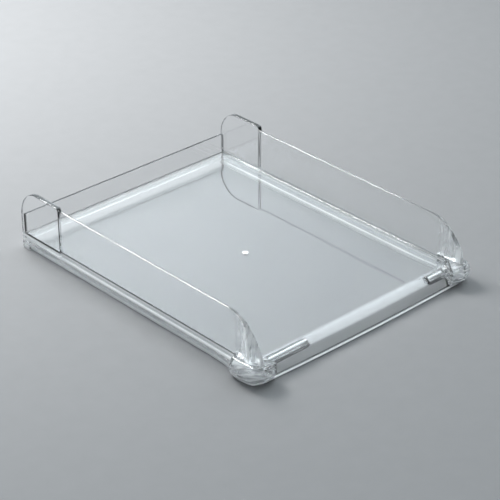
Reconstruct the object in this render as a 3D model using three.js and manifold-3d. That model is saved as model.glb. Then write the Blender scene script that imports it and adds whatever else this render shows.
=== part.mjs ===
// Clear letter tray, portrait format, open at the front.
// Millimetres. +X is right, +Y is the back, +Z is up.
// The origin is the middle of the footprint, on the desk.
//
// The real tray is one clear moulding with two thick front corner feet. Here it is divided
// along its natural edges into simple solids: floor, front roll, lip, walls, tabs, posts,
// rails, flared wall ends, feet and stop pegs. Neighbours keep a hairline GAP.

import * as THREE from 'three';
import { mergeVertices } from 'three/addons/utils/BufferGeometryUtils.js';
import Module from 'manifold-3d';

const wasm = await Module();
wasm.setup();

// ---------- driving dimensions ----------
const GAP = 0.3;
const HALF_WIDTH = 136; // widest place, across the front feet
const HALF_DEPTH = 164; // foot front to tab rear
const TOTAL_HEIGHT = 62; // top of the rear tabs

const INNER_HALF = 121.5; // inside face of a side wall
const SHEET = 2.2; // moulded wall thickness
const WALL_TOP = 58.5;
const WALL_BOW = 1.2; // the side walls belly outward by this much
const FLOOR_TOP = 15.5;

const BACK_FACE = 160.3; // front face of the back wall
const BACK_TOP = 35.6;
const BACK_RAIL_BOTTOM = 6;

const LIP_Y = -157.5; // front edge, measured at its ends
const LIP_BOW = 2; // the front edge bows forward in the middle
const LIP_HEIGHT = 2.4;
const LIP_DEPTH = 3;
const ROLL_DEPTH = 17; // floor rolls down to the lip over this distance

const RAIL_INNER = 119.2;
const RAIL_TOP = 15.2;
const RAIL_FLARE = 3; // the rail swings out to meet the foot
const RAIL_FLARE_LENGTH = 40;

const TAB_FRONT = 107.5;
const TAB_OUTER = 126;
const TAB_ROUND_Y = 24; // quarter ellipse at the top rear corner
const TAB_ROUND_Z = 26;
const TAB_NOSE = 3.5; // small radius at the top front corner
const POST_DEPTH = 9.8;

const SWEEP_Y = -112.5; // centre of the curve of the wall's front end
const SWEEP_Z = 8;
const SWEEP_REACH = 50;
const FACE_REACH = 24; // inner edge of the flared end, same idea
const FACE_Z = 13;
const FLARE_THICKNESS = 6;

const FOOT_TOP = 20;
const FOOT_REAR = -129.5;
const FOOT_INNER = 110;
const FOOT_CORNER = 12;

const PEG_Y = -148.5;
const PEG_Z = 12;
const PEG_RADIUS = 4.4;
const PEG_ROOT = 112.5;
const PEG_ENDS = { left: 62, right: 86 };

const GATE_RADIUS = 4.2;
const GATE_HEIGHT = 0.4;
const GATE_Y = -5;

// ---------- small helpers ----------
function positionsOnly(geometry) {
  const plain = geometry.index ? geometry.toNonIndexed() : geometry.clone();
  for (const name of Object.keys(plain.attributes)) {
    if (name !== 'position') plain.deleteAttribute(name);
  }
  return mergeVertices(plain, 1e-4);
}

function toSolid(geometry) {
  const merged = positionsOnly(geometry);
  const vertProperties = new Float32Array(merged.attributes.position.array);
  const triVerts = new Uint32Array(merged.index.array);
  return new wasm.Manifold(new wasm.Mesh({ numProp: 3, vertProperties, triVerts }));
}

function toGeometry(solid) {
  const mesh = solid.getMesh();
  const geometry = new THREE.BufferGeometry();
  geometry.setAttribute('position', new THREE.BufferAttribute(mesh.vertProperties, 3));
  geometry.setIndex(new THREE.BufferAttribute(mesh.triVerts, 1));
  geometry.computeVertexNormals();
  return geometry;
}

function box(low, high) {
  const size = high.map((value, i) => value - low[i]);
  const middle = high.map((value, i) => (value + low[i]) / 2);
  return new THREE.BoxGeometry(...size).translate(...middle);
}

// Mirrors a right-hand piece to the left-hand side, keeping its faces outward.
function mirrored(geometry) {
  const merged = positionsOnly(geometry);
  merged.scale(-1, 1, 1);
  const index = merged.index.array;
  for (let i = 0; i < index.length; i += 3) {
    [index[i], index[i + 1]] = [index[i + 1], index[i]];
  }
  return merged;
}

// Extrudes a shape drawn in (y, z) along X, from x0 to x1.
function extrudeAlongX(shape, x0, x1, steps = 1, curveSegments = 12) {
  const geometry = new THREE.ExtrudeGeometry(shape, {
    depth: x1 - x0, steps, bevelEnabled: false, curveSegments,
  });
  const axes = new THREE.Matrix4().makeBasis(
    new THREE.Vector3(0, 1, 0),
    new THREE.Vector3(0, 0, 1),
    new THREE.Vector3(1, 0, 0),
  );
  return geometry.applyMatrix4(axes).translate(x0, 0, 0);
}

// Extrudes a shape drawn in (x, z) along Y, from y0 to y1.
function extrudeAlongY(shape, y0, y1, steps = 1) {
  const geometry = new THREE.ExtrudeGeometry(shape, {
    depth: y1 - y0, steps, bevelEnabled: false,
  });
  return geometry.rotateX(Math.PI / 2).translate(0, y1, 0);
}

// Skins a stack of level outlines that all have the same number of points,
// listed anticlockwise as seen from above and from the lowest level up.
function loft(levels) {
  const count = levels[0].points.length;
  const positions = levels.flatMap(({ z, points }) => points.flatMap(([x, y]) => [x, y, z]));
  const index = [];
  for (let level = 0; level < levels.length - 1; level += 1) {
    for (let i = 0; i < count; i += 1) {
      const next = (i + 1) % count;
      const a = level * count + i;
      const b = level * count + next;
      index.push(a, b, b + count, a, b + count, a + count);
    }
  }
  const bottom = THREE.ShapeUtils.triangulateShape(toVectors(levels[0].points), []);
  const top = THREE.ShapeUtils.triangulateShape(toVectors(levels.at(-1).points), []);
  const topStart = (levels.length - 1) * count;
  for (const [a, b, c] of bottom) index.push(a, c, b);
  for (const [a, b, c] of top) index.push(topStart + a, topStart + b, topStart + c);
  const geometry = new THREE.BufferGeometry();
  geometry.setAttribute('position', new THREE.Float32BufferAttribute(positions, 3));
  geometry.setIndex(index);
  return geometry;
}

function toVectors(points) {
  return points.map(([x, y]) => new THREE.Vector2(x, y));
}

// ---------- curves that several pieces share ----------
function wallBelly(z) {
  const share = (z - FLOOR_TOP) / (WALL_TOP - FLOOR_TOP);
  return WALL_BOW * Math.sin(Math.PI * THREE.MathUtils.clamp(share, 0, 1));
}

function ellipseY(z, centreZ, reach, rise) {
  const share = Math.min(1, Math.abs(z - centreZ) / rise);
  return SWEEP_Y - reach * Math.sqrt(1 - share * share);
}

// Leading edge of the side wall, and the inner edge where its flared end begins.
function leadingEdge(z) {
  return ellipseY(z, SWEEP_Z, SWEEP_REACH, WALL_TOP - SWEEP_Z);
}

function faceEdge(z) {
  return ellipseY(z, FACE_Z, FACE_REACH, WALL_TOP - FACE_Z) + 1;
}

function lipBowAt(x) {
  const share = Math.min(1, Math.abs(x) / FOOT_INNER);
  return LIP_BOW * (1 - share * share);
}

// Bows a front piece forward in plan, less and less towards the floor.
function bowForward(geometry) {
  const place = geometry.attributes.position;
  for (let i = 0; i < place.count; i += 1) {
    const nearLip = 1 - THREE.MathUtils.clamp((place.getY(i) - LIP_Y) / ROLL_DEPTH, 0, 1);
    place.setY(i, place.getY(i) - lipBowAt(place.getX(i)) * nearLip);
  }
  return geometry;
}

// ---------- floor and front ----------
function floorPanel() {
  const half = RAIL_INNER - GAP;
  const front = LIP_Y + ROLL_DEPTH + GAP;
  const panel = toSolid(box([-half, front, FLOOR_TOP - SHEET], [half, BACK_FACE, FLOOR_TOP]));
  const gate = new THREE.CylinderGeometry(GATE_RADIUS, GATE_RADIUS, 1 + GATE_HEIGHT, 32)
    .rotateX(Math.PI / 2)
    .translate(0, GATE_Y, FLOOR_TOP + (GATE_HEIGHT - 1) / 2);
  return toGeometry(panel.add(toSolid(gate)));
}

function frontRoll() {
  const centreY = LIP_Y + ROLL_DEPTH;
  const rise = FLOOR_TOP - LIP_HEIGHT;
  const shape = new THREE.Shape();
  shape.absellipse(centreY, LIP_HEIGHT, ROLL_DEPTH, rise, Math.PI / 2, Math.PI, false);
  const inner = new THREE.Path();
  inner.absellipse(centreY, LIP_HEIGHT, ROLL_DEPTH - SHEET, rise - SHEET, Math.PI, Math.PI / 2, true);
  for (const point of inner.getPoints(12)) shape.lineTo(point.x, point.y);
  const half = RAIL_INNER - GAP;
  const roll = toSolid(bowForward(extrudeAlongX(shape, -half, half, 24)));
  const cutters = [
    footShape(GAP),
    mirrored(footShape(GAP)),
    pegShape(PEG_ENDS.right, GAP),
    mirrored(pegShape(PEG_ENDS.left, GAP)),
  ];
  return toGeometry(cutters.reduce((solid, cutter) => solid.subtract(toSolid(cutter)), roll));
}

function frontLip() {
  const half = FOOT_INNER - GAP;
  const shape = new THREE.Shape();
  const top = LIP_HEIGHT - GAP;
  shape.moveTo(LIP_Y - 0.4, 0.6);
  shape.lineTo(LIP_Y + 0.2, 0);
  shape.lineTo(LIP_Y + LIP_DEPTH, 0);
  shape.lineTo(LIP_Y + LIP_DEPTH, top);
  shape.lineTo(LIP_Y - 0.4, top);
  shape.closePath();
  return bowForward(extrudeAlongX(shape, -half, half, 24));
}

// A round peg that lies on the front roll and stops the paper; it grows out of the foot.
function pegShape(end, grow) {
  const radius = PEG_RADIUS + grow;
  const profile = [new THREE.Vector2(0, PEG_ROOT), new THREE.Vector2(radius, PEG_ROOT)];
  const dome = PEG_RADIUS * 0.6;
  for (let i = 0; i <= 5; i += 1) {
    const angle = (i / 5) * (Math.PI / 2);
    const x = end - grow + dome * (1 - Math.sin(angle));
    profile.push(new THREE.Vector2(i === 5 ? 0 : radius * Math.cos(angle), x));
  }
  const geometry = new THREE.LatheGeometry(profile.reverse(), 28);
  return geometry.rotateZ(-Math.PI / 2).translate(0, PEG_Y, PEG_Z);
}

// ---------- rails under the floor ----------
function railSection() {
  const shape = new THREE.Shape();
  shape.moveTo(RAIL_INNER, 0);
  shape.lineTo(RAIL_INNER + 3.8, 0);
  shape.lineTo(RAIL_INNER + 3.8, 2.6);
  shape.lineTo(RAIL_INNER + 5.2, 3.4);
  shape.lineTo(RAIL_INNER + 5.2, 10.4);
  shape.lineTo(INNER_HALF + SHEET, 11.4);
  shape.lineTo(INNER_HALF + SHEET, RAIL_TOP);
  shape.lineTo(RAIL_INNER, RAIL_TOP);
  shape.closePath();
  return shape;
}

// The outer side of the rail swings outward over its last stretch before the foot.
function sideRail() {
  const front = FOOT_REAR + GAP;
  const rear = BACK_FACE + SHEET;
  const geometry = extrudeAlongY(railSection(), front, rear, 36);
  const place = geometry.attributes.position;
  for (let i = 0; i < place.count; i += 1) {
    const near = THREE.MathUtils.clamp(1 - (place.getY(i) - front) / RAIL_FLARE_LENGTH, 0, 1);
    const outer = place.getX(i) > INNER_HALF ? 1 : 0;
    const low = 1 - place.getZ(i) / RAIL_TOP;
    place.setX(i, place.getX(i) + RAIL_FLARE * near * near * outer * low);
  }
  const postRoom = box(
    [INNER_HALF, HALF_DEPTH - POST_DEPTH - GAP, -1],
    [TAB_OUTER + 1, HALF_DEPTH + 1, RAIL_TOP + 1],
  );
  return toGeometry(toSolid(geometry).subtract(toSolid(postRoom)));
}

function backRail() {
  const half = RAIL_INNER - GAP;
  const rear = BACK_FACE + SHEET;
  return box(
    [-half, BACK_FACE - SHEET, BACK_RAIL_BOTTOM],
    [half, rear, FLOOR_TOP - SHEET - GAP],
  );
}

// ---------- walls ----------
function backWall() {
  const rear = BACK_FACE + SHEET;
  const shape = new THREE.Shape();
  const nose = SHEET / 2;
  shape.moveTo(BACK_FACE, FLOOR_TOP + GAP);
  shape.lineTo(rear, FLOOR_TOP + GAP);
  shape.lineTo(rear, BACK_TOP - nose);
  shape.absarc(BACK_FACE + nose, BACK_TOP - nose, nose, 0, Math.PI, false);
  shape.closePath();
  return extrudeAlongX(shape, -INNER_HALF, INNER_HALF, 1, 6);
}

// The wall is a bowed sheet along Y, cut at the front along the edge of its flared end.
function sideWall() {
  const bottom = RAIL_TOP + GAP;
  const steps = 10;
  const inner = [];
  const outer = [];
  for (let i = 0; i <= steps; i += 1) {
    const z = bottom + ((WALL_TOP - bottom) * i) / steps;
    inner.push(new THREE.Vector2(INNER_HALF + wallBelly(z), z));
    outer.push(new THREE.Vector2(INNER_HALF + SHEET + wallBelly(z), z));
  }
  const section = new THREE.Shape([...outer, ...inner.reverse()]);
  const sheet = extrudeAlongY(section, SWEEP_Y - FACE_REACH, TAB_FRONT - GAP);

  const front = new THREE.Shape();
  const low = bottom - 1;
  front.moveTo(HALF_DEPTH, low);
  front.lineTo(HALF_DEPTH, WALL_TOP + 1);
  front.lineTo(faceEdge(WALL_TOP) + GAP, WALL_TOP + 1);
  for (let i = 0; i <= 16; i += 1) {
    const z = low + (WALL_TOP - low) * Math.cos((i / 16) * (Math.PI / 2));
    front.lineTo(faceEdge(z) + GAP, z);
  }
  front.closePath();
  const keep = extrudeAlongX(front, INNER_HALF - 5, INNER_HALF + 10);
  return toGeometry(toSolid(sheet).intersect(toSolid(keep)).subtract(toSolid(footShape(GAP))));
}

// Side view of the tab with its rear post: round at the top rear, tight at the top front.
function tabOutline(bottom) {
  const shape = new THREE.Shape();
  const roundY = HALF_DEPTH - TAB_ROUND_Y;
  const roundZ = TOTAL_HEIGHT - TAB_ROUND_Z;
  shape.moveTo(TAB_FRONT, bottom);
  shape.lineTo(HALF_DEPTH, bottom);
  shape.lineTo(HALF_DEPTH, roundZ);
  shape.absellipse(roundY, roundZ, TAB_ROUND_Y, TAB_ROUND_Z, 0, Math.PI / 2, false);
  shape.absarc(TAB_FRONT + TAB_NOSE, TOTAL_HEIGHT - TAB_NOSE, TAB_NOSE, Math.PI / 2, Math.PI, false);
  shape.closePath();
  return shape;
}

function cutByY(geometry, low, high) {
  const keep = box([-HALF_WIDTH, low, -1], [HALF_WIDTH, high, TOTAL_HEIGHT + 1]);
  return toGeometry(toSolid(geometry).intersect(toSolid(keep)));
}

function rearTab() {
  const slab = extrudeAlongX(tabOutline(RAIL_TOP + GAP), INNER_HALF + GAP, TAB_OUTER, 1, 16);
  return cutByY(slab, TAB_FRONT - 1, HALF_DEPTH - POST_DEPTH - GAP);
}

function rearPost() {
  const slab = extrudeAlongX(tabOutline(0), INNER_HALF + GAP, TAB_OUTER, 1, 16);
  return cutByY(slab, HALF_DEPTH - POST_DEPTH, HALF_DEPTH + 1);
}

// ---------- front corners ----------
// Level outline of the flared wall end: a rounded wedge from the wall to the leading edge.
function flareOutline(z) {
  const inside = INNER_HALF + wallBelly(z);
  const share = (z - FOOT_TOP) / (WALL_TOP - FOOT_TOP);
  const thick = THREE.MathUtils.lerp(FLARE_THICKNESS, SHEET, share);
  const front = leadingEdge(z);
  const rear = faceEdge(z);
  const length = rear - front;
  return [
    [inside, rear],
    [inside, front + 0.28 * length],
    [inside + 0.2 * thick, front + 0.08 * length],
    [inside + 0.5 * thick, front],
    [inside + 0.85 * thick, front + 0.06 * length],
    [inside + thick, front + 0.2 * length],
    [inside + 0.5 * (thick + SHEET), front + 0.6 * length],
    [inside + SHEET, rear],
  ];
}

function wallEnd() {
  const levels = [];
  const steps = 12;
  const bottom = FOOT_TOP + GAP;
  const top = WALL_TOP - 0.6;
  for (let i = 0; i <= steps; i += 1) {
    const z = bottom + (top - bottom) * Math.sin((i / steps) * (Math.PI / 2));
    levels.push({ z, points: flareOutline(z) });
  }
  return loft(levels);
}

// Level outline of the foot. inset pulls the outside in, grow pushes the inside out.
function footOutline(inset, grow) {
  const corner = FOOT_CORNER;
  const side = HALF_WIDTH - inset;
  const front = -HALF_DEPTH + 1.3 * inset;
  const rear = FOOT_REAR + grow;
  const points = [
    [side - 5, rear],
    [RAIL_INNER + 2.6 - grow, rear],
    [RAIL_INNER + 2.6 - grow, rear - 8],
    [FOOT_INNER - grow, LIP_Y - 1 + grow],
    [FOOT_INNER - grow, Math.min(LIP_Y - 2 - grow, front + 5)],
    [FOOT_INNER + 6, front + 1.5],
  ];
  for (let i = 0; i <= 6; i += 1) {
    const angle = -Math.PI / 2 + (i / 6) * (Math.PI / 2);
    const x = side - corner + corner * Math.cos(angle);
    const y = front + corner + corner * Math.sin(angle);
    points.push([x, y]);
  }
  points.push([side, rear - 10]);
  points.push([side - 1.5, rear - 4]);
  return points;
}

// The foot bellies out above the desk and rounds in again under the flared wall end.
function footShape(grow) {
  const bulge = [[0, 5], [3, 2], [8, 0], [14, 0.8], [18, 3], [FOOT_TOP, 6]];
  return loft(bulge.map(([z, inset], i) => {
    const spread = i === 0 ? -grow : grow;
    const isEnd = i === 0 || i === bulge.length - 1;
    return { z: isEnd ? z + spread : z, points: footOutline(inset, grow) };
  }));
}

// ---------- assembly ----------
const clearPlastic = {
  color: 0xdde4ea, roughness: 0.06, metalness: 0, transparent: true, opacity: 0.4,
};
const thickPlastic = { ...clearPlastic, color: 0xc4d0da };

const tray = new THREE.Group();

function addPiece(name, geometry, finish) {
  const mesh = new THREE.Mesh(positionsOnly(geometry), new THREE.MeshStandardMaterial(finish));
  mesh.name = name;
  tray.add(mesh);
}

addPiece('floor_panel', floorPanel(), clearPlastic);
addPiece('front_roll', frontRoll(), clearPlastic);
addPiece('front_lip', frontLip(), clearPlastic);
addPiece('back_wall', backWall(), clearPlastic);
addPiece('back_rail', backRail(), clearPlastic);

const pairedPieces = {
  side_wall: [sideWall(), clearPlastic],
  side_rail: [sideRail(), clearPlastic],
  rear_tab: [rearTab(), clearPlastic],
  rear_post: [rearPost(), thickPlastic],
  wall_end: [wallEnd(), thickPlastic],
  corner_foot: [footShape(0), thickPlastic],
};
for (const [name, [geometry, finish]] of Object.entries(pairedPieces)) {
  addPiece(`right_${name}`, geometry, finish);
  addPiece(`left_${name}`, mirrored(geometry), finish);
}
addPiece('right_stop_peg', pegShape(PEG_ENDS.right, 0), thickPlastic);
addPiece('left_stop_peg', mirrored(pegShape(PEG_ENDS.left, 0)), thickPlastic);

export default tray;
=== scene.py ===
"""Looks for the clear letter tray: one clear moulding, two corner feet and two stop pegs.

Lengths in the shape functions are millimetres in the row frame (+X right, +Y back, +Z up).
Meshes are turned into metres when they become Blender objects.
"""

import math

import bmesh
import bpy
import numpy as np
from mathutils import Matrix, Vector


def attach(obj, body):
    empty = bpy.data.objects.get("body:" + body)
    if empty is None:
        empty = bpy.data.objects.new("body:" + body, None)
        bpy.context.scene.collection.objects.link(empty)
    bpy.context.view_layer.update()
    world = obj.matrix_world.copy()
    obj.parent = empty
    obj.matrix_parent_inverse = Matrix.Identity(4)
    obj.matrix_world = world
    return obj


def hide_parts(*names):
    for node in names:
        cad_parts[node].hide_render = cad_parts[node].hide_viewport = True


MM = 0.001

# ---------- the moulding ----------
INNER_HALF = 121.5  # inside face of a side wall
SHEET = 2.2
WALL_TOP = 58.5
WALL_BOW = 1.2
WALL_FOOTING = 12.2  # the walls start inside the skirt
FLOOR_TOP = 15.5
FLOOR_UNDER = FLOOR_TOP - SHEET
EDGE_ROUND = 0.7
WALL_NOSE = 0.5  # how far the rounded top edge of a side wall rises over its flanks
FILLET = 1.3

BACK_FACE = 160.3
BACK_TOP = 35.6
BACK_SKIRT_BOTTOM = 6.0
CORNER_FILLET = 2.2

TAB_FRONT = 107.5
TAB_REAR = 164.0
TAB_OUTER = 126.0
TAB_TOP = 62.0
TAB_ROUND_Y = 24.0
TAB_ROUND_Z = 26.0
TAB_NOSE = 3.5
TAB_BOTTOM = 11.5
TAB_EDGE = 0.6
POST_DEPTH = 9.8

SKIRT_FRONT = -128.5
SKIRT_FLARE = 3.0  # the skirt swings out over its last stretch before the foot
SKIRT_FLARE_LENGTH = 40.0
SKIRT_HIGHLIGHTS_TOP = 18.0
SKIRT_PAINTED_HIGHLIGHTS = [  # height, and how strongly the surface is whitened there into a painted highlight line
    (0.2, 0.7), (1.4, 0.7), (1.9, 0.0), (3.0, 0.0), (3.5, 0.8), (4.6, 0.8), (5.2, 0.1),
    (8.6, 0.2), (9.2, 1.0), (11.6, 1.0), (12.1, 0.1), (12.9, 0.1), (13.4, 1.0), (15.6, 1.0), (16.2, 0.0),
]

# ---------- the front ----------
LIP_Y = -157.5
LIP_BOW = 2.0
LIP_BOW_HALF = 110.0
LIP_HEIGHT = 2.4
LIP_DEPTH = 3.0
ROLL_DEPTH = 17.0
ROLL_HALF = 119.0  # the roll runs this far either way, into the feet
BEAD_RADIUS = 1.15  # the lip ends in a small bead

SWEEP_Y = -119.0  # centre of the quarter round at the front end of a side wall
SWEEP_Z = 8.0
SWEEP_REACH = 43.5
FLARE_Y = -111.5  # the same for the line where the wall starts to thicken
FLARE_Z = 13.0
FLARE_REACH = 24.0
FLARE_THICKNESS = 8.6
FLARE_SETBACK = 8.0  # the thickest place lies this far behind the leading edge
FLARE_TIP = 0.8  # thickness at the leading edge
FLARE_SOFTNESS = 1.2  # how gently the flank and the front face of a flare meet

FOOT_TOP = 19.0
FOOT_SIDE = 136.0
FOOT_FRONT = -164.0
FOOT_REAR = -129.5
FOOT_INNER = 108.5
FOOT_CORNER = 12.0
FOOT_ROOT = 121.8
FOOT_WALL = 2.6
FOOT_LIFT = 0.05  # rise of the top towards the front, per millimetre
FOOT_FALL = 0.22  # and its fall towards the inside
FOOT_COVE = 2.0  # height of the cove between the foot and the wall
SEAM = 0.3  # air gap between a foot or peg and the moulding

PEG_Y = -148.5
PEG_Z = 12.0
PEG_RADIUS = 4.4
PEG_ROOT = 112.5
PEG_DOME = 2.4  # length of the rounded end
PEG_ROUND = 1.9  # how far the radius shrinks over it
PEG_BORE = 2.3  # the pegs are tubes, open at the free end
PEG_ENDS = {"left": 62.0, "right": 86.0}

GATE_RADIUS = 3.4
GATE_HEIGHT = 0.35
GATE_Y = -5.0

PLASTIC_IOR = 1.57

# ---------- camera, light and paper, metres ----------
CAMERA_PLACE = (-1.0562, -1.1513, 0.9037)
CAMERA_TARGET = (0.02495, 0.01577, 0.0)
CAMERA_LENS = 141.6
SENSOR = 36.0

LAMP_PLACE = (-0.05, 0.85, 0.9)
LAMP_AIM = (-0.05, 0.84, 0.0)
LAMP_SIZE = 0.6
LAMP_POWER = 30.0
LAMP_COLOUR = (1.0, 1.0, 1.0)
PAPER_HALF = 4.0
PAPER_DARK = (0.186, 0.188, 0.191, 1.0)
PAPER_LIGHT = (0.200, 0.202, 0.205, 1.0)
GLOW_COLOUR = (0.91, 1.0, 1.05, 1.0)
WORLD_BASE = 0.30
GLOWS = [  # direction, inner and outer radius in degrees, strength
    ((0.10, 0.55, 0.80), 30.0, 85.0, 0.55),
    ((0.66, 0.60, 0.42), 12.0, 40.0, 0.50),
    ((0.44, 0.78, 0.44), 5.0, 16.0, 0.65),
    ((0.60, 0.12, 0.79), 12.0, 30.0, 2.9),
    ((-0.50, 0.62, 0.60), 8.0, 24.0, 1.0),
]


# ---------- outlines ----------
def smoothstep(share):
    share = np.clip(share, 0.0, 1.0)
    return share * share * (3.0 - 2.0 * share)


def rounded_outline(corners, steps=5):
    """A closed outline from (x, y, radius) corners, each turned into an arc of steps + 1 points."""
    outline = []
    count = len(corners)
    for i, (x, y, radius) in enumerate(corners):
        here = np.array([x, y])
        before = np.array(corners[i - 1][:2]) - here
        after = np.array(corners[(i + 1) % count][:2]) - here
        length_before = np.linalg.norm(before)
        length_after = np.linalg.norm(after)
        before = before / length_before
        after = after / length_after
        half_angle = 0.5 * math.acos(float(np.clip(before @ after, -1.0, 1.0)))
        reach = radius / max(math.tan(half_angle), 1e-6)
        reach = min(reach, 0.49 * length_before, 0.49 * length_after)
        start = here + before * reach
        end = here + after * reach
        for k in range(steps + 1):
            t = k / steps
            point = (1 - t) ** 2 * start + 2 * t * (1 - t) * here + t * t * end
            outline.append(point)
    return np.array(outline)


def quarter_arc(centre, reach, start, end, steps):
    """Points on an ellipse with the given half axes, from one angle to another."""
    angles = np.linspace(start, end, steps + 1)
    return np.stack([centre[0] + reach[0] * np.cos(angles), centre[1] + reach[1] * np.sin(angles)], 1)


def wall_belly(z):
    share = np.clip((z - FLOOR_TOP) / (WALL_TOP - FLOOR_TOP), 0.0, 1.0)
    return WALL_BOW * np.sin(np.pi * share)


def leading_edge(z):
    share = np.clip(np.abs(z - SWEEP_Z) / (WALL_TOP - SWEEP_Z), 0.0, 1.0)
    return SWEEP_Y - SWEEP_REACH * np.sqrt(1.0 - share * share)


def flare_start(z):
    share = np.clip(np.abs(z - FLARE_Z) / (WALL_TOP - FLARE_Z), 0.0, 1.0)
    return FLARE_Y - FLARE_REACH * np.sqrt(1.0 - share * share)


def foot_top_lift(x, y, z):
    """How much the foot's top rises towards the front and falls towards the inside."""
    forward = FOOT_LIFT * np.clip(FOOT_REAR - y, 0.0, 40.0)
    inward = FOOT_FALL * np.clip(INNER_HALF - x, 0.0, 12.0)
    return (forward - inward) * smoothstep((z - 8.0) / (FOOT_TOP - 8.0))


def lip_bow(x):
    share = np.clip(np.abs(x) / LIP_BOW_HALF, 0.0, 1.0)
    return LIP_BOW * (1.0 - share * share)


# ---------- solids as (vertices, faces) ----------
def loft(rings):
    """Skins closed rings of equal point count and caps both ends."""
    rings = np.asarray(rings, float)
    ring_count, point_count = rings.shape[:2]
    faces = []
    for r in range(ring_count - 1):
        low = r * point_count
        high = low + point_count
        for p in range(point_count):
            q = (p + 1) % point_count
            faces.append((low + p, low + q, high + q, high + p))
    faces.append(tuple(range(point_count - 1, -1, -1)))
    last = (ring_count - 1) * point_count
    faces.append(tuple(last + p for p in range(point_count)))
    return rings.reshape(-1, 3), faces


def sweep_along_x(outline_yz, places):
    rings = [[(x, y, z) for y, z in outline_yz] for x in places]
    return loft(rings)


def sweep_along_y(outline_xz, places):
    rings = [[(x, y, z) for x, z in outline_xz] for y in places]
    return loft(rings)


def mirrored(solid):
    vertices, faces = solid
    flipped = vertices * np.array([-1.0, 1.0, 1.0])
    return flipped, [tuple(reversed(face)) for face in faces]


def on_side(solid, side):
    """Solids are drawn for the right side and mirrored for the left."""
    return solid if side == "right" else mirrored(solid)


# ---------- pieces of the moulding ----------
def floor_slab():
    outline = rounded_outline(
        [
            (LIP_Y + ROLL_DEPTH - 1.0, FLOOR_UNDER, 0.0),
            (BACK_FACE + 1.0, FLOOR_UNDER, 0.0),
            (BACK_FACE + 1.0, FLOOR_TOP, 0.0),
            (LIP_Y + ROLL_DEPTH - 1.0, FLOOR_TOP, 0.0),
        ],
        steps=1,
    )
    return sweep_along_x(outline, np.linspace(-INNER_HALF - 1.0, INNER_HALF + 1.0, 3))


def gate_mark():
    """The small disc that the moulding gate leaves in the middle of the floor."""
    angles = np.linspace(0.0, 2.0 * np.pi, 48, endpoint=False)
    profile = [
        (GATE_RADIUS, FLOOR_TOP - 0.5),
        (GATE_RADIUS, FLOOR_TOP + 0.05),
        (GATE_RADIUS - 0.25, FLOOR_TOP + GATE_HEIGHT),
        (GATE_RADIUS - 1.6, FLOOR_TOP + GATE_HEIGHT),
        (GATE_RADIUS - 2.4, FLOOR_TOP + 0.1),
    ]
    rings = []
    for radius, z in profile:
        rings.append([(radius * math.cos(a), GATE_Y + radius * math.sin(a), z) for a in angles])
    return loft(rings)


def front_roll():
    """The floor rolls over and down to a small lip on the desk; both bow forward in the middle."""
    centre = (LIP_Y + ROLL_DEPTH, LIP_HEIGHT)
    rise = FLOOR_TOP - LIP_HEIGHT
    outer = quarter_arc(centre, (ROLL_DEPTH, rise), np.pi / 2, np.pi, 24)
    inner = quarter_arc(centre, (ROLL_DEPTH - SHEET, rise - SHEET), np.pi, np.pi / 2, 24)
    lip = [
        *quarter_arc((LIP_Y - 0.2, BEAD_RADIUS), (BEAD_RADIUS, BEAD_RADIUS), 0.42 * np.pi, 1.5 * np.pi, 12),
        (LIP_Y + LIP_DEPTH - 0.4, 0.0),
        (LIP_Y + LIP_DEPTH, 0.4),
        (LIP_Y + LIP_DEPTH, LIP_HEIGHT - 0.3),
    ]
    tail = LIP_Y + ROLL_DEPTH + 3.0
    outline = [(tail, FLOOR_TOP), *outer, *lip, *inner[1:], (tail, FLOOR_UNDER)]
    rings = []
    for x in np.linspace(-ROLL_HALF, ROLL_HALF, 61):
        ring = []
        for y, z in outline:
            nearness = 1.0 - np.clip((y - LIP_Y) / ROLL_DEPTH, 0.0, 1.0)
            ring.append((x, y - lip_bow(x) * nearness, z))
        rings.append(ring)
    return loft(rings)


def back_wall():
    corners = [
        (BACK_FACE, BACK_SKIRT_BOTTOM, 0.5),
        (BACK_FACE + SHEET, BACK_SKIRT_BOTTOM, 0.5),
        (BACK_FACE + SHEET, BACK_TOP, EDGE_ROUND),
        (BACK_FACE, BACK_TOP, EDGE_ROUND),
    ]
    half = INNER_HALF + 1.2
    return sweep_along_x(rounded_outline(corners), np.linspace(-half, half, 5))


def side_skirt():
    """The stepped skirt under a side wall, with its swing outward before the foot."""
    corners = [
        (121.3, 0.0, 0.4),
        (123.1, 0.0, 0.5),
        (123.1, 2.7, 0.4),
        (124.5, 3.5, 0.5),
        (124.5, 10.5, 0.5),
        (INNER_HALF + SHEET, 11.5, 0.5),
        (INNER_HALF + SHEET, 15.4, 0.0),
        (121.6, 15.4, 0.0),
        (121.3, 13.0, 0.3),
        (121.3, 11.2, 0.4),
        (122.4, 10.2, 0.4),
        (122.4, 4.3, 0.4),
        (121.3, 3.6, 0.4),
    ]
    outline = rounded_outline(corners, steps=4)
    rings = []
    for y in np.concatenate([np.linspace(SKIRT_FRONT - 4, -80.0, 25), np.linspace(-70.0, 162.0, 9)]):
        near = np.clip(1.0 - (y - SKIRT_FRONT) / SKIRT_FLARE_LENGTH, 0.0, 1.0)
        swing = SKIRT_FLARE * near * near
        rings.append([(x + swing * max(0.0, 1.0 - z / 15.0), y, z) for x, z in outline])
    return loft(rings)


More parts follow.
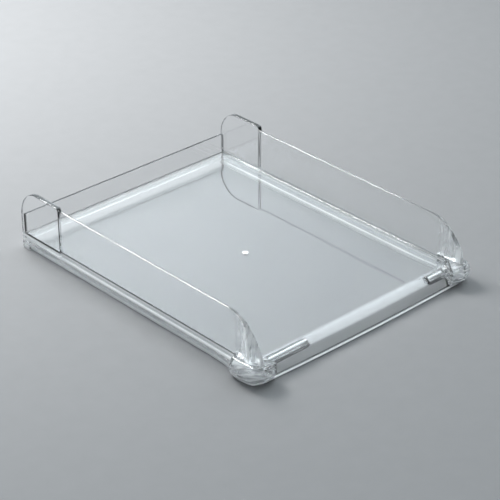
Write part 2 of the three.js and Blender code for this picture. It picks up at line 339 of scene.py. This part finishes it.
def flare_thickness(y, z):
    """Wall thickness: a flank that swells outward and a slanting front face meet at a soft edge."""
    height = np.clip((z - FOOT_TOP) / (WALL_TOP - FOOT_TOP), 0.0, 1.0)
    full = SHEET + (FLARE_THICKNESS - SHEET) * (1.0 - height) ** 1.1
    front = leading_edge(z)
    start = flare_start(z)
    setback = 0.6 + (FLARE_SETBACK - 0.6) * smoothstep((WALL_TOP - z) / 18.0)
    setback += 0.14 * np.maximum(40.0 - z, 0.0)
    share = np.clip((start - y) / np.maximum(start - front - setback, 0.5), 0.0, 1.3)
    flank = SHEET + (full - SHEET) * share
    above_foot = np.clip(1.0 - (z - foot_seam(y)) / FOOT_COVE, 0.0, 1.0) ** 2
    near_foot = smoothstep((FOOT_REAR + 2.0 - y) / 5.0)
    flank = np.maximum(flank, SHEET + (FLARE_THICKNESS - SHEET) * above_foot * near_foot)
    face = FLARE_TIP + (full - FLARE_TIP) * np.maximum(y - front, 0.0) / setback
    blend = np.exp(-flank / FLARE_SOFTNESS * 2) + np.exp(-face / FLARE_SOFTNESS * 2)
    return -np.log(blend) * FLARE_SOFTNESS / 2


def foot_seam(y):
    return FOOT_TOP + FOOT_LIFT * np.clip(FOOT_REAR - y, 0.0, 40.0)


def side_wall():
    """A bellied sheet whose front end is a quarter round that swells into a flare."""
    spokes = []
    for y in np.linspace(TAB_FRONT + 6.0, FLARE_Y + 4.0, 12):
        spokes.append(((y, WALL_FOOTING), (y, WALL_TOP)))
    for y in np.linspace(FLARE_Y + 3.0, SWEEP_Y, 8)[:-1]:
        spokes.append(((y, WALL_FOOTING), (y, WALL_TOP)))
    for turn in np.linspace(0.0, 1.0, 61):
        angle = turn * math.radians(80.0)
        edge_y = SWEEP_Y - SWEEP_REACH * math.sin(angle)
        edge_z = SWEEP_Z + (WALL_TOP - SWEEP_Z) * math.cos(angle)
        spokes.append(((SWEEP_Y - 26.0 * turn, WALL_FOOTING), (edge_y, edge_z)))
    rings = [wall_spoke(np.array(base), np.array(edge)) for base, edge in spokes]
    return loft(rings)


def wall_spoke(base, edge):
    """One closed ring of the wall: up its inner face, over the edge and down its outer face."""
    direction = (edge - base) / np.linalg.norm(edge - base)
    shares = 1.0 - (1.0 - np.linspace(0.0, 1.0, 30)) ** 1.6
    top = edge - direction * WALL_NOSE
    ring = []
    for share in shares:
        y, z = base + (top - base) * share
        ring.append((INNER_HALF + wall_belly(z), y, z))
    for turn in np.linspace(0.0, np.pi, 9)[1:-1]:
        y, z = top + direction * WALL_NOSE * math.sin(turn)
        thickness = float(flare_thickness(top[0], top[1]))
        across = 0.5 * (1.0 - math.cos(turn))
        ring.append((INNER_HALF + wall_belly(z) + thickness * across, y, z))
    for share in shares[::-1]:
        y, z = base + (top - base) * share
        ring.append((INNER_HALF + wall_belly(z) + float(flare_thickness(y, z)), y, z))
    return ring


def tab_outline(bottom):
    """Side view of the rear tab: round at the top rear, tight at the top front."""
    round_centre = (TAB_REAR - TAB_ROUND_Y, TAB_TOP - TAB_ROUND_Z)
    nose_centre = (TAB_FRONT + TAB_NOSE, TAB_TOP - TAB_NOSE)
    rear = quarter_arc(round_centre, (TAB_ROUND_Y, TAB_ROUND_Z), 0.0, np.pi / 2, 28)
    nose = quarter_arc(nose_centre, (TAB_NOSE, TAB_NOSE), np.pi / 2, np.pi, 8)
    post_front = TAB_REAR - POST_DEPTH
    foot = [
        (TAB_FRONT, bottom),
        (post_front - 1.5, bottom),
        (post_front - 0.4, bottom - 0.4),
        (post_front, bottom - 1.5),
        (post_front, 0.4),
        (post_front + 0.4, 0.0),
        (TAB_REAR - 0.6, 0.0),
        (TAB_REAR, 0.6),
    ]
    return np.array([*foot, *rear, *nose])


def inset_outline(outline, distance):
    """Moves every point of an anticlockwise outline inward along its normal."""
    ahead = np.roll(outline, -1, 0) - outline
    behind = outline - np.roll(outline, 1, 0)
    ahead /= np.linalg.norm(ahead, axis=1)[:, None]
    behind /= np.linalg.norm(behind, axis=1)[:, None]
    tangent = ahead + behind
    tangent /= np.linalg.norm(tangent, axis=1)[:, None]
    normal = np.stack([-tangent[:, 1], tangent[:, 0]], 1)
    return outline + normal * distance


def rear_tab():
    """A flat upright plate with softened edges and a post that reaches the desk."""
    outline = tab_outline(TAB_BOTTOM)
    layers = []
    for turn in np.linspace(0.0, np.pi / 2, 5):
        step = TAB_EDGE * (1 - math.sin(turn))
        inset = TAB_EDGE * (1 - math.cos(turn))
        layers.append((INNER_HALF + step, inset))
        layers.append((TAB_OUTER - step, inset))
    rings = []
    for x, inset in sorted(layers):
        rings.append([(x, y, z) for y, z in inset_outline(outline, inset)])
    return loft(rings)


def long_fillet():
    """The small inside radius where a side wall meets the floor."""
    arc = quarter_arc(
        (INNER_HALF - FILLET, FLOOR_TOP + FILLET), (FILLET, FILLET), -np.pi / 2, 0.0, 6
    )
    outline = [(INNER_HALF - FILLET, FLOOR_TOP - 0.4), *arc, (INNER_HALF + 0.8, FLOOR_TOP + FILLET),
               (INNER_HALF + 0.8, FLOOR_TOP - 0.4)]
    return sweep_along_y(np.array(outline)[::-1], np.linspace(LIP_Y + ROLL_DEPTH + 1, BACK_FACE + 1, 4))


def back_fillet():
    arc = quarter_arc(
        (BACK_FACE - FILLET, FLOOR_TOP + FILLET), (FILLET, FILLET), -np.pi / 2, 0.0, 6
    )
    outline = [(BACK_FACE - FILLET, FLOOR_TOP - 0.4), *arc, (BACK_FACE + 0.8, FLOOR_TOP + FILLET),
               (BACK_FACE + 0.8, FLOOR_TOP - 0.4)]
    return sweep_along_x(np.array(outline), np.linspace(-INNER_HALF - 0.5, INNER_HALF + 0.5, 4))


def corner_fillet():
    """The upright inside radius between the back wall and a tab."""
    arc = quarter_arc(
        (INNER_HALF - CORNER_FILLET, BACK_FACE - CORNER_FILLET),
        (CORNER_FILLET, CORNER_FILLET), np.pi / 2, 0.0, 8,
    )
    outline = [(INNER_HALF - CORNER_FILLET, BACK_FACE + 0.8), *arc,
               (INNER_HALF + 0.8, BACK_FACE - CORNER_FILLET), (INNER_HALF + 0.8, BACK_FACE + 0.8)]
    rings = []
    for z in (FLOOR_UNDER + 0.5, 24.0, BACK_TOP - EDGE_ROUND):
        rings.append([(x, y, z) for x, y in outline])
    return loft(rings)


# ---------- feet and pegs ----------
FOOT_PROFILE = [
    (0.0, 5.6, 8.5), (0.5, 4.6, 7.2), (1.4, 3.4, 5.6), (3.0, 2.0, 3.4), (5.0, 0.8, 1.6),
    (8.0, 0.0, 0.3), (11.0, 0.15, 0.0), (14.0, 0.8, 0.2), (16.2, 1.9, 0.5), (17.8, 3.2, 0.9),
    (18.6, 4.3, 1.2), (18.8, 5.2, 1.6), (FOOT_TOP, 6.4, 2.2),
]  # height, and how far the side and the front pull in there


def foot_outline(side_inset, front_inset, grow):
    side = FOOT_SIDE - side_inset + grow
    front = FOOT_FRONT + front_inset - grow
    rear = FOOT_REAR + grow
    corners = [
        (side - 1.5, rear, 1.5),
        (FOOT_ROOT - grow, rear, 0.5),
        (FOOT_ROOT - grow, rear - 9.0, 3.0),
        (FOOT_INNER - grow, LIP_Y - 1.0, 2.0),
        (FOOT_INNER - grow, front + 2.2, 0.8),
        (INNER_HALF + 1.0, front, 1.0),
        (side - 1.0, front + 3.2, FOOT_CORNER),
        (side, rear - 9.0, 6.0),
    ]
    return rounded_outline(corners, steps=8)


def corner_foot(grow=0.0):
    """The foot bellies out above the desk and rounds in under the flared wall end."""
    rings = []
    for i, (z, side_inset, front_inset) in enumerate(FOOT_PROFILE):
        height = z
        if i == 0:
            height -= grow
        if i == len(FOOT_PROFILE) - 1:
            height += grow
        outline = foot_outline(side_inset, front_inset, grow)
        rings.append([(x, y, height + foot_top_lift(x, y, z)) for x, y in outline])
    return loft(rings)


def foot_cavity():
    """The hollow under the foot: its shape shrunk by the wall thickness, open at the desk."""
    rings = []
    for z, side_inset, front_inset in FOOT_PROFILE:
        height = z * (FOOT_TOP - FOOT_WALL) / FOOT_TOP if z > 0.0 else -1.0
        outline = foot_outline(side_inset, front_inset, -FOOT_WALL)
        rings.append([(x, y, height + foot_top_lift(x, y, z)) for x, y in outline])
    return loft(rings)


def stop_peg(end, grow=0.0):
    """A tube along the front edge with a softly rounded, open end; solid when it is grown to cut room."""
    radius = PEG_RADIUS + grow
    stations = [(PEG_ROOT + grow, radius), (PEG_ROOT - 4.0, radius), (end + PEG_DOME, radius)]
    for turn in np.linspace(0.0, np.pi / 2, 9)[1:-1]:
        x = end + PEG_DOME - (PEG_DOME + grow) * math.sin(turn)
        stations.append((x, radius - PEG_ROUND * (1 - math.cos(turn))))
    if grow == 0.0:
        stations.append((end + 0.5, PEG_BORE))
        stations.append((PEG_ROOT - 6.0, PEG_BORE - 0.2))
    angles = np.linspace(0.0, 2.0 * np.pi, 40, endpoint=False)
    rings = []
    for x, size in stations:
        rings.append([(x, PEG_Y + size * math.cos(a), PEG_Z + size * math.sin(a)) for a in angles])
    return loft(rings)


# ---------- solids to Blender objects ----------
def to_object(name, solid):
    vertices, faces = solid
    mesh = bpy.data.meshes.new(name)
    mesh.from_pydata([tuple(v) for v in np.asarray(vertices) * MM], [], faces)
    mesh.validate()
    piece = bpy.data.objects.new(name, mesh)
    bpy.context.scene.collection.objects.link(piece)
    make_faces_outward(piece)
    return piece


def make_faces_outward(piece):
    work = bmesh.new()
    work.from_mesh(piece.data)
    bmesh.ops.recalc_face_normals(work, faces=work.faces)
    if work.calc_volume(signed=True) < 0:
        bmesh.ops.reverse_faces(work, faces=work.faces)
    work.to_mesh(piece.data)
    work.free()


def apply_modifiers(piece):
    bpy.context.view_layer.update()
    evaluated = piece.evaluated_get(bpy.context.evaluated_depsgraph_get())
    mesh = bpy.data.meshes.new_from_object(evaluated)
    piece.modifiers.clear()
    piece.data = mesh


def combine(piece, other, operation):
    modifier = piece.modifiers.new(operation, "BOOLEAN")
    modifier.operation = operation
    modifier.solver = "MANIFOLD"
    modifier.object = other
    apply_modifiers(piece)
    bpy.data.objects.remove(other)


def keep_largest_body(work):
    """Deletes the chips and loose points that a cut leaves beside the main body."""
    bodies = []
    left = set(work.faces)
    while left:
        queue = [left.pop()]
        body = []
        while queue:
            face = queue.pop()
            body.append(face)
            for edge in face.edges:
                for neighbour in edge.link_faces:
                    if neighbour in left:
                        left.remove(neighbour)
                        queue.append(neighbour)
        bodies.append(body)
    bodies.sort(key=len)
    chips = [face for body in bodies[:-1] for face in body]
    bmesh.ops.delete(work, geom=chips, context="FACES")
    loose = [vertex for vertex in work.verts if not vertex.link_faces]
    bmesh.ops.delete(work, geom=loose, context="VERTS")


def finish_surface(piece, crease=32.0):
    """Smooth shading that stays crisp at real edges and flat on the flats."""
    work = bmesh.new()
    work.from_mesh(piece.data)
    bmesh.ops.remove_doubles(work, verts=work.verts, dist=2e-6)
    bmesh.ops.dissolve_degenerate(work, edges=work.edges, dist=1e-6)
    keep_largest_body(work)
    work.to_mesh(piece.data)
    work.free()
    piece.data.shade_smooth()
    piece.data.set_sharp_from_angle(angle=math.radians(crease))
    modifier = piece.modifiers.new("weighted", "WEIGHTED_NORMAL")
    modifier.mode = "FACE_AREA"
    modifier.keep_sharp = True
    apply_modifiers(piece)


def make_shell():
    shell = to_object("clear_shell", floor_slab())
    additions = [gate_mark(), front_roll(), back_wall(), back_fillet()]
    for half in (side_skirt(), side_wall(), rear_tab(), long_fillet(), corner_fillet()):
        additions.extend([half, mirrored(half)])
    for i, solid in enumerate(additions):
        combine(shell, to_object(f"part_{i}", solid), "UNION")
    room = corner_foot(SEAM)
    right_room = stop_peg(PEG_ENDS["right"], SEAM)
    left_room = stop_peg(PEG_ENDS["left"], SEAM)
    pockets = [room, mirrored(room), right_room, mirrored(left_room)]
    for i, solid in enumerate(pockets):
        combine(shell, to_object(f"pocket_{i}", solid), "DIFFERENCE")
    finish_surface(shell)
    return shell


def make_foot(side):
    foot = to_object(f"{side}_foot_block", on_side(corner_foot(), side))
    combine(foot, to_object("cavity", on_side(foot_cavity(), side)), "DIFFERENCE")
    peg_room = stop_peg(PEG_ENDS[side], SEAM)
    combine(foot, to_object("peg_room", on_side(peg_room, side)), "DIFFERENCE")
    finish_surface(foot)
    return foot


def make_peg(side):
    peg = to_object(f"{side}_peg_bar", on_side(stop_peg(PEG_ENDS[side]), side))
    finish_surface(peg)
    return peg


# ---------- materials ----------
def calculate(tree, operation, *values):
    """One Math node; each value is a number or the output of another node."""
    node = tree.nodes.new("ShaderNodeMath")
    node.operation = operation
    for socket, value in zip(node.inputs, values):
        if isinstance(value, bpy.types.NodeSocket):
            tree.links.new(value, socket)
        else:
            socket.default_value = value
    return node.outputs["Value"]


def product(tree, *values):
    total = values[0]
    for value in values[1:]:
        total = calculate(tree, "MULTIPLY", total, value)
    return total


def strongest(tree, *values):
    total = values[0]
    for value in values[1:]:
        total = calculate(tree, "MAXIMUM", total, value)
    return total


def ramp_between(tree, value, start, end):
    """0 at start, 1 at end, smooth between."""
    node = tree.nodes.new("ShaderNodeMapRange")
    node.interpolation_type = "SMOOTHSTEP"
    node.inputs["From Min"].default_value = start
    node.inputs["From Max"].default_value = end
    tree.links.new(value, node.inputs["Value"])
    return node.outputs["Result"]


def millimetre_coordinates(tree):
    """Object coordinates in millimetres: distance from the middle plane, y and z."""
    place = tree.nodes.new("ShaderNodeTexCoord")
    scale = tree.nodes.new("ShaderNodeVectorMath")
    scale.operation = "SCALE"
    scale.inputs["Scale"].default_value = 1.0 / MM
    split = tree.nodes.new("ShaderNodeSeparateXYZ")
    tree.links.new(place.outputs["Object"], scale.inputs["Vector"])
    tree.links.new(scale.outputs["Vector"], split.inputs["Vector"])
    side = calculate(tree, "ABSOLUTE", split.outputs["X"])
    return side, split.outputs["Y"], split.outputs["Z"]


def stretched_noise(tree, stretch, scale, detail):
    place = tree.nodes.new("ShaderNodeTexCoord")
    mapping = tree.nodes.new("ShaderNodeMapping")
    mapping.inputs["Scale"].default_value = stretch
    noise = tree.nodes.new("ShaderNodeTexNoise")
    noise.inputs["Scale"].default_value = scale
    noise.inputs["Detail"].default_value = detail
    tree.links.new(place.outputs["Object"], mapping.inputs["Vector"])
    tree.links.new(mapping.outputs["Vector"], noise.inputs["Vector"])
    return noise.outputs["Fac"]


def skirt_painted_highlights(tree, z):
    """Painted highlights: fine parallel whitened lines along the skirts."""
    ramp = tree.nodes.new("ShaderNodeValToRGB")
    stops = ramp.color_ramp.elements
    for height, amount in SKIRT_PAINTED_HIGHLIGHTS:
        stop = stops.new(height / SKIRT_HIGHLIGHTS_TOP)
        stop.color = (amount, amount, amount, 1.0)
    stops.remove(stops[0])
    stops.remove(stops[-1])
    share = calculate(tree, "DIVIDE", z, SKIRT_HIGHLIGHTS_TOP)
    tree.links.new(share, ramp.inputs["Fac"])
    return ramp.outputs["Color"]


def sheet_painted_highlights(tree):
    """Painted highlights, where the moulding is whitened: lines on the skirts, lip, gate mark, wall tops
    and wall ends.
    """
    side, y, z = millimetre_coordinates(tree)
    # Painted highlights: whitened lines on the side skirts, fainter on the back skirt.
    painted_lines = skirt_painted_highlights(tree, z)
    side_skirt_mask = calculate(tree, "GREATER_THAN", side, INNER_HALF - 0.5)
    back_mask = calculate(tree, "GREATER_THAN", y, BACK_FACE)
    places = strongest(tree, side_skirt_mask, product(tree, back_mask, 0.4))
    skirt_highlights = product(tree, places, painted_lines, 0.9)

    # Painted highlight: a thin whitened line along the upper part of the lip.
    lip = product(
        tree,
        calculate(tree, "LESS_THAN", y, LIP_Y + 0.6),
        calculate(tree, "LESS_THAN", z, LIP_HEIGHT),
        ramp_between(tree, z, 1.1, 1.5),
    )
    # Painted highlight: a whitened patch over the gate mark.
    from_gate = calculate(tree, "ABSOLUTE", calculate(tree, "SUBTRACT", y, GATE_Y))
    gate_highlight = product(
        tree,
        calculate(tree, "LESS_THAN", calculate(tree, "ADD", from_gate, side), GATE_RADIUS * 1.3),
        calculate(tree, "GREATER_THAN", z, FLOOR_TOP + 0.02),
        0.6,
    )
    # Painted highlight: a faint whitened band along the top edge of the side walls, ahead of the tabs.
    wall_top_highlight = product(
        tree,
        ramp_between(tree, z, WALL_TOP - 1.0, WALL_TOP - 0.2),
        calculate(tree, "LESS_THAN", y, TAB_FRONT - 1.0),
        0.16,
    )
    # Painted highlight: whitened, streaky patches on the flared wall ends just above the feet.
    highlight_streaks = ramp_between(tree, stretched_noise(tree, (40.0, 60.0, 14.0), 3.0, 2.0), 0.42, 0.62)
    wall_end = product(
        tree,
        ramp_between(tree, y, -125.0, -137.0),
        ramp_between(tree, z, FOOT_TOP - 1.0, FOOT_TOP + 2.0),
        calculate(tree, "ADD", 0.12, product(tree, highlight_streaks, 0.45)),
    )
    return strongest(tree, skirt_highlights, lip, gate_highlight, wall_top_highlight, wall_end)


def block_painted_highlights(tree):
    """Painted highlights: fine whitened lines that flow down round the feet, which are whiter near the
    desk.
    """
    side, y, z = millimetre_coordinates(tree)
    drift = product(tree, stretched_noise(tree, (22.0, 10.0, 22.0), 2.0, 2.0), 12.0)
    slant = product(tree, calculate(tree, "ADD", y, 146.0), 0.2)
    phase = calculate(tree, "ADD", calculate(tree, "ADD", z, drift), slant)
    wave = ramp_between(tree, calculate(tree, "SINE", product(tree, phase, 1.5)), 0.0, 1.0)
    patches = ramp_between(tree, stretched_noise(tree, (14.0, 14.0, 30.0), 3.0, 2.0), 0.35, 0.65)
    painted_lines = product(tree, wave, calculate(tree, "ADD", patches, 0.35), 0.45)
    whiter_near_desk = product(tree, ramp_between(tree, z, 12.0, 3.0), 0.4)
    on_foot = calculate(tree, "GREATER_THAN", side, FOOT_INNER)
    under_top = ramp_between(tree, z, FOOT_TOP - 0.6, FOOT_TOP - 2.0)
    return product(tree, calculate(tree, "ADD", painted_lines, whiter_near_desk), under_top, on_foot)


def clear_plastic(name, tint, absorption, density, wave_height, painted_highlights):
    """Clear moulded plastic: faint flow lines, a cool tint that grows with depth, and painted highlights
    where it is whitened.
    """
    material = bpy.data.materials.new(name)
    material.use_nodes = True
    tree = material.node_tree
    shader = tree.nodes["Principled BSDF"]
    shader.inputs["Base Color"].default_value = (*tint, 1.0)
    shader.inputs["IOR"].default_value = PLASTIC_IOR

    bump = tree.nodes.new("ShaderNodeBump")
    bump.inputs["Strength"].default_value = 1.0
    bump.inputs["Distance"].default_value = wave_height
    tree.links.new(stretched_noise(tree, (9.0, 2.4, 16.0), 1.6, 1.0), bump.inputs["Height"])
    tree.links.new(bump.outputs["Normal"], shader.inputs["Normal"])

    # The painted highlights lower the transmission so the near-white base colour shows, and roughen the
    # surface there.
    highlight_mask = painted_highlights(tree)
    haze = ramp_between(tree, stretched_noise(tree, (1.0, 1.0, 1.0), 22.0, 3.0), 0.3, 0.75)
    rough = calculate(tree, "ADD", product(tree, haze, 0.03), product(tree, highlight_mask, 0.25))
    clear = calculate(tree, "SUBTRACT", 1.0, product(tree, highlight_mask, 0.85))
    tree.links.new(rough, shader.inputs["Roughness"])
    tree.links.new(clear, shader.inputs["Transmission Weight"])

    depth = tree.nodes.new("ShaderNodeVolumeAbsorption")
    depth.inputs["Color"].default_value = (*absorption, 1.0)
    depth.inputs["Density"].default_value = density
    tree.links.new(depth.outputs["Volume"], tree.nodes["Material Output"].inputs["Volume"])
    return material


def desk_paper():
    """Plain pale studio paper with a very faint mottle."""
    material = bpy.data.materials.new("studio_paper")
    material.use_nodes = True
    nodes = material.node_tree.nodes
    links = material.node_tree.links
    shader = nodes["Principled BSDF"]
    shader.inputs["Roughness"].default_value = 0.85
    shader.inputs["Specular IOR Level"].default_value = 0.2
    place = nodes.new("ShaderNodeTexCoord")
    mottle = nodes.new("ShaderNodeTexNoise")
    mottle.inputs["Scale"].default_value = 60.0
    ramp = nodes.new("ShaderNodeValToRGB")
    ramp.color_ramp.elements[0].color = PAPER_DARK
    ramp.color_ramp.elements[1].color = PAPER_LIGHT
    links.new(place.outputs["Object"], mottle.inputs["Vector"])
    links.new(mottle.outputs["Fac"], ramp.inputs["Fac"])
    links.new(ramp.outputs["Color"], shader.inputs["Base Color"])
    return material


# ---------- stage ----------
def make_floor():
    """A large flat sheet of paper under the tray."""
    reach = PAPER_HALF
    vertices = [(x, y, 0.0) for y in (-reach, 0.0, reach) for x in (-reach, reach)]
    faces = [(0, 1, 3, 2), (2, 3, 5, 4)]
    mesh = bpy.data.meshes.new("studio_floor")
    mesh.from_pydata(vertices, [], faces)
    floor = bpy.data.objects.new("studio_floor", mesh)
    bpy.context.scene.collection.objects.link(floor)
    mesh.materials.append(desk_paper())
    return floor


def look_at(thing, target):
    direction = Vector(target) - thing.location
    thing.rotation_euler = direction.to_track_quat("-Z", "Y").to_euler()


def add_softbox(name, place, target, size, power, colour):
    light = bpy.data.lights.new(name, "AREA")
    light.shape = "RECTANGLE"
    light.size, light.size_y = size
    light.energy = power
    light.color = colour
    lamp = bpy.data.objects.new(name, light)
    lamp.location = place
    look_at(lamp, target)
    bpy.context.scene.collection.objects.link(lamp)


def make_world():
    """Dim surroundings with broad soft glows, like diffusers hung round the desk."""
    world = bpy.data.worlds.new("studio")
    bpy.context.scene.world = world
    world.use_nodes = True
    nodes = world.node_tree.nodes
    links = world.node_tree.links
    background = nodes["Background"]
    background.inputs["Color"].default_value = GLOW_COLOUR
    place = nodes.new("ShaderNodeTexCoord")
    total = None
    for direction, inner, outer, strength in GLOWS:
        facing = nodes.new("ShaderNodeVectorMath")
        facing.operation = "DOT_PRODUCT"
        facing.inputs[1].default_value = Vector(direction).normalized()
        glow = nodes.new("ShaderNodeMapRange")
        glow.interpolation_type = "SMOOTHSTEP"
        glow.inputs["From Min"].default_value = math.cos(math.radians(outer))
        glow.inputs["From Max"].default_value = math.cos(math.radians(inner))
        glow.inputs["To Min"].default_value = 0.0
        glow.inputs["To Max"].default_value = strength
        links.new(place.outputs["Generated"], facing.inputs[0])
        links.new(facing.outputs["Value"], glow.inputs["Value"])
        add = nodes.new("ShaderNodeMath")
        add.operation = "ADD"
        links.new(glow.outputs["Result"], add.inputs[0])
        if total is None:
            add.inputs[1].default_value = WORLD_BASE
        else:
            links.new(total, add.inputs[1])
        total = add.outputs["Value"]
    links.new(total, background.inputs["Strength"])


def make_lights():
    add_softbox("rear_softbox", LAMP_PLACE, LAMP_AIM, (LAMP_SIZE, LAMP_SIZE), LAMP_POWER, LAMP_COLOUR)


def make_camera():
    camera = bpy.data.cameras.new("camera")
    camera.lens = CAMERA_LENS
    camera.sensor_width = SENSOR
    camera.clip_start = 0.05
    camera.clip_end = 30.0
    holder = bpy.data.objects.new("camera", camera)
    holder.location = CAMERA_PLACE
    look_at(holder, CAMERA_TARGET)
    bpy.context.scene.collection.objects.link(holder)
    bpy.context.scene.camera = holder


# ---------- assembly ----------
def place_piece(piece, material, nodes):
    piece.data.materials.clear()
    piece.data.materials.append(material)
    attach(piece, "root")
    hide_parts(*nodes)


def both_sides(*names):
    return [f"{side}_{name}" for side in ("right", "left") for name in names]


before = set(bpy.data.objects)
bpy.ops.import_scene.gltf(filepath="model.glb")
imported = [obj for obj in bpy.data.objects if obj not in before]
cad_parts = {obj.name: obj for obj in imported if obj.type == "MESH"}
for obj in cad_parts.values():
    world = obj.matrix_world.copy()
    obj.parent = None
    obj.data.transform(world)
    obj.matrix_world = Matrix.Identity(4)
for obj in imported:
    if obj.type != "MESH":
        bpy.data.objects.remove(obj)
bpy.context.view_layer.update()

sheet_plastic = clear_plastic(
    "clear_sheet_plastic", (0.998, 0.999, 1.0), (0.45, 0.72, 0.80), 3.0, 0.0006, sheet_painted_highlights
)
block_plastic = clear_plastic(
    "clear_block_plastic", (0.996, 0.998, 1.0), (0.40, 0.68, 0.78), 4.0, 0.0004, block_painted_highlights
)

shell_nodes = ["floor_panel", "front_roll", "front_lip", "back_wall", "back_rail"]
shell_nodes += both_sides("side_wall", "side_rail", "rear_tab", "rear_post", "wall_end")
place_piece(make_shell(), sheet_plastic, shell_nodes)
for side in ("right", "left"):
    place_piece(make_foot(side), block_plastic, [f"{side}_corner_foot"])
    place_piece(make_peg(side), block_plastic, [f"{side}_stop_peg"])

make_floor()
make_world()
make_lights()
make_camera()
bpy.context.scene.view_settings.view_transform = "Standard"
bpy.context.scene.cycles.blur_glossy = 0.0  # keeps the light that comes through clear plastic sharp
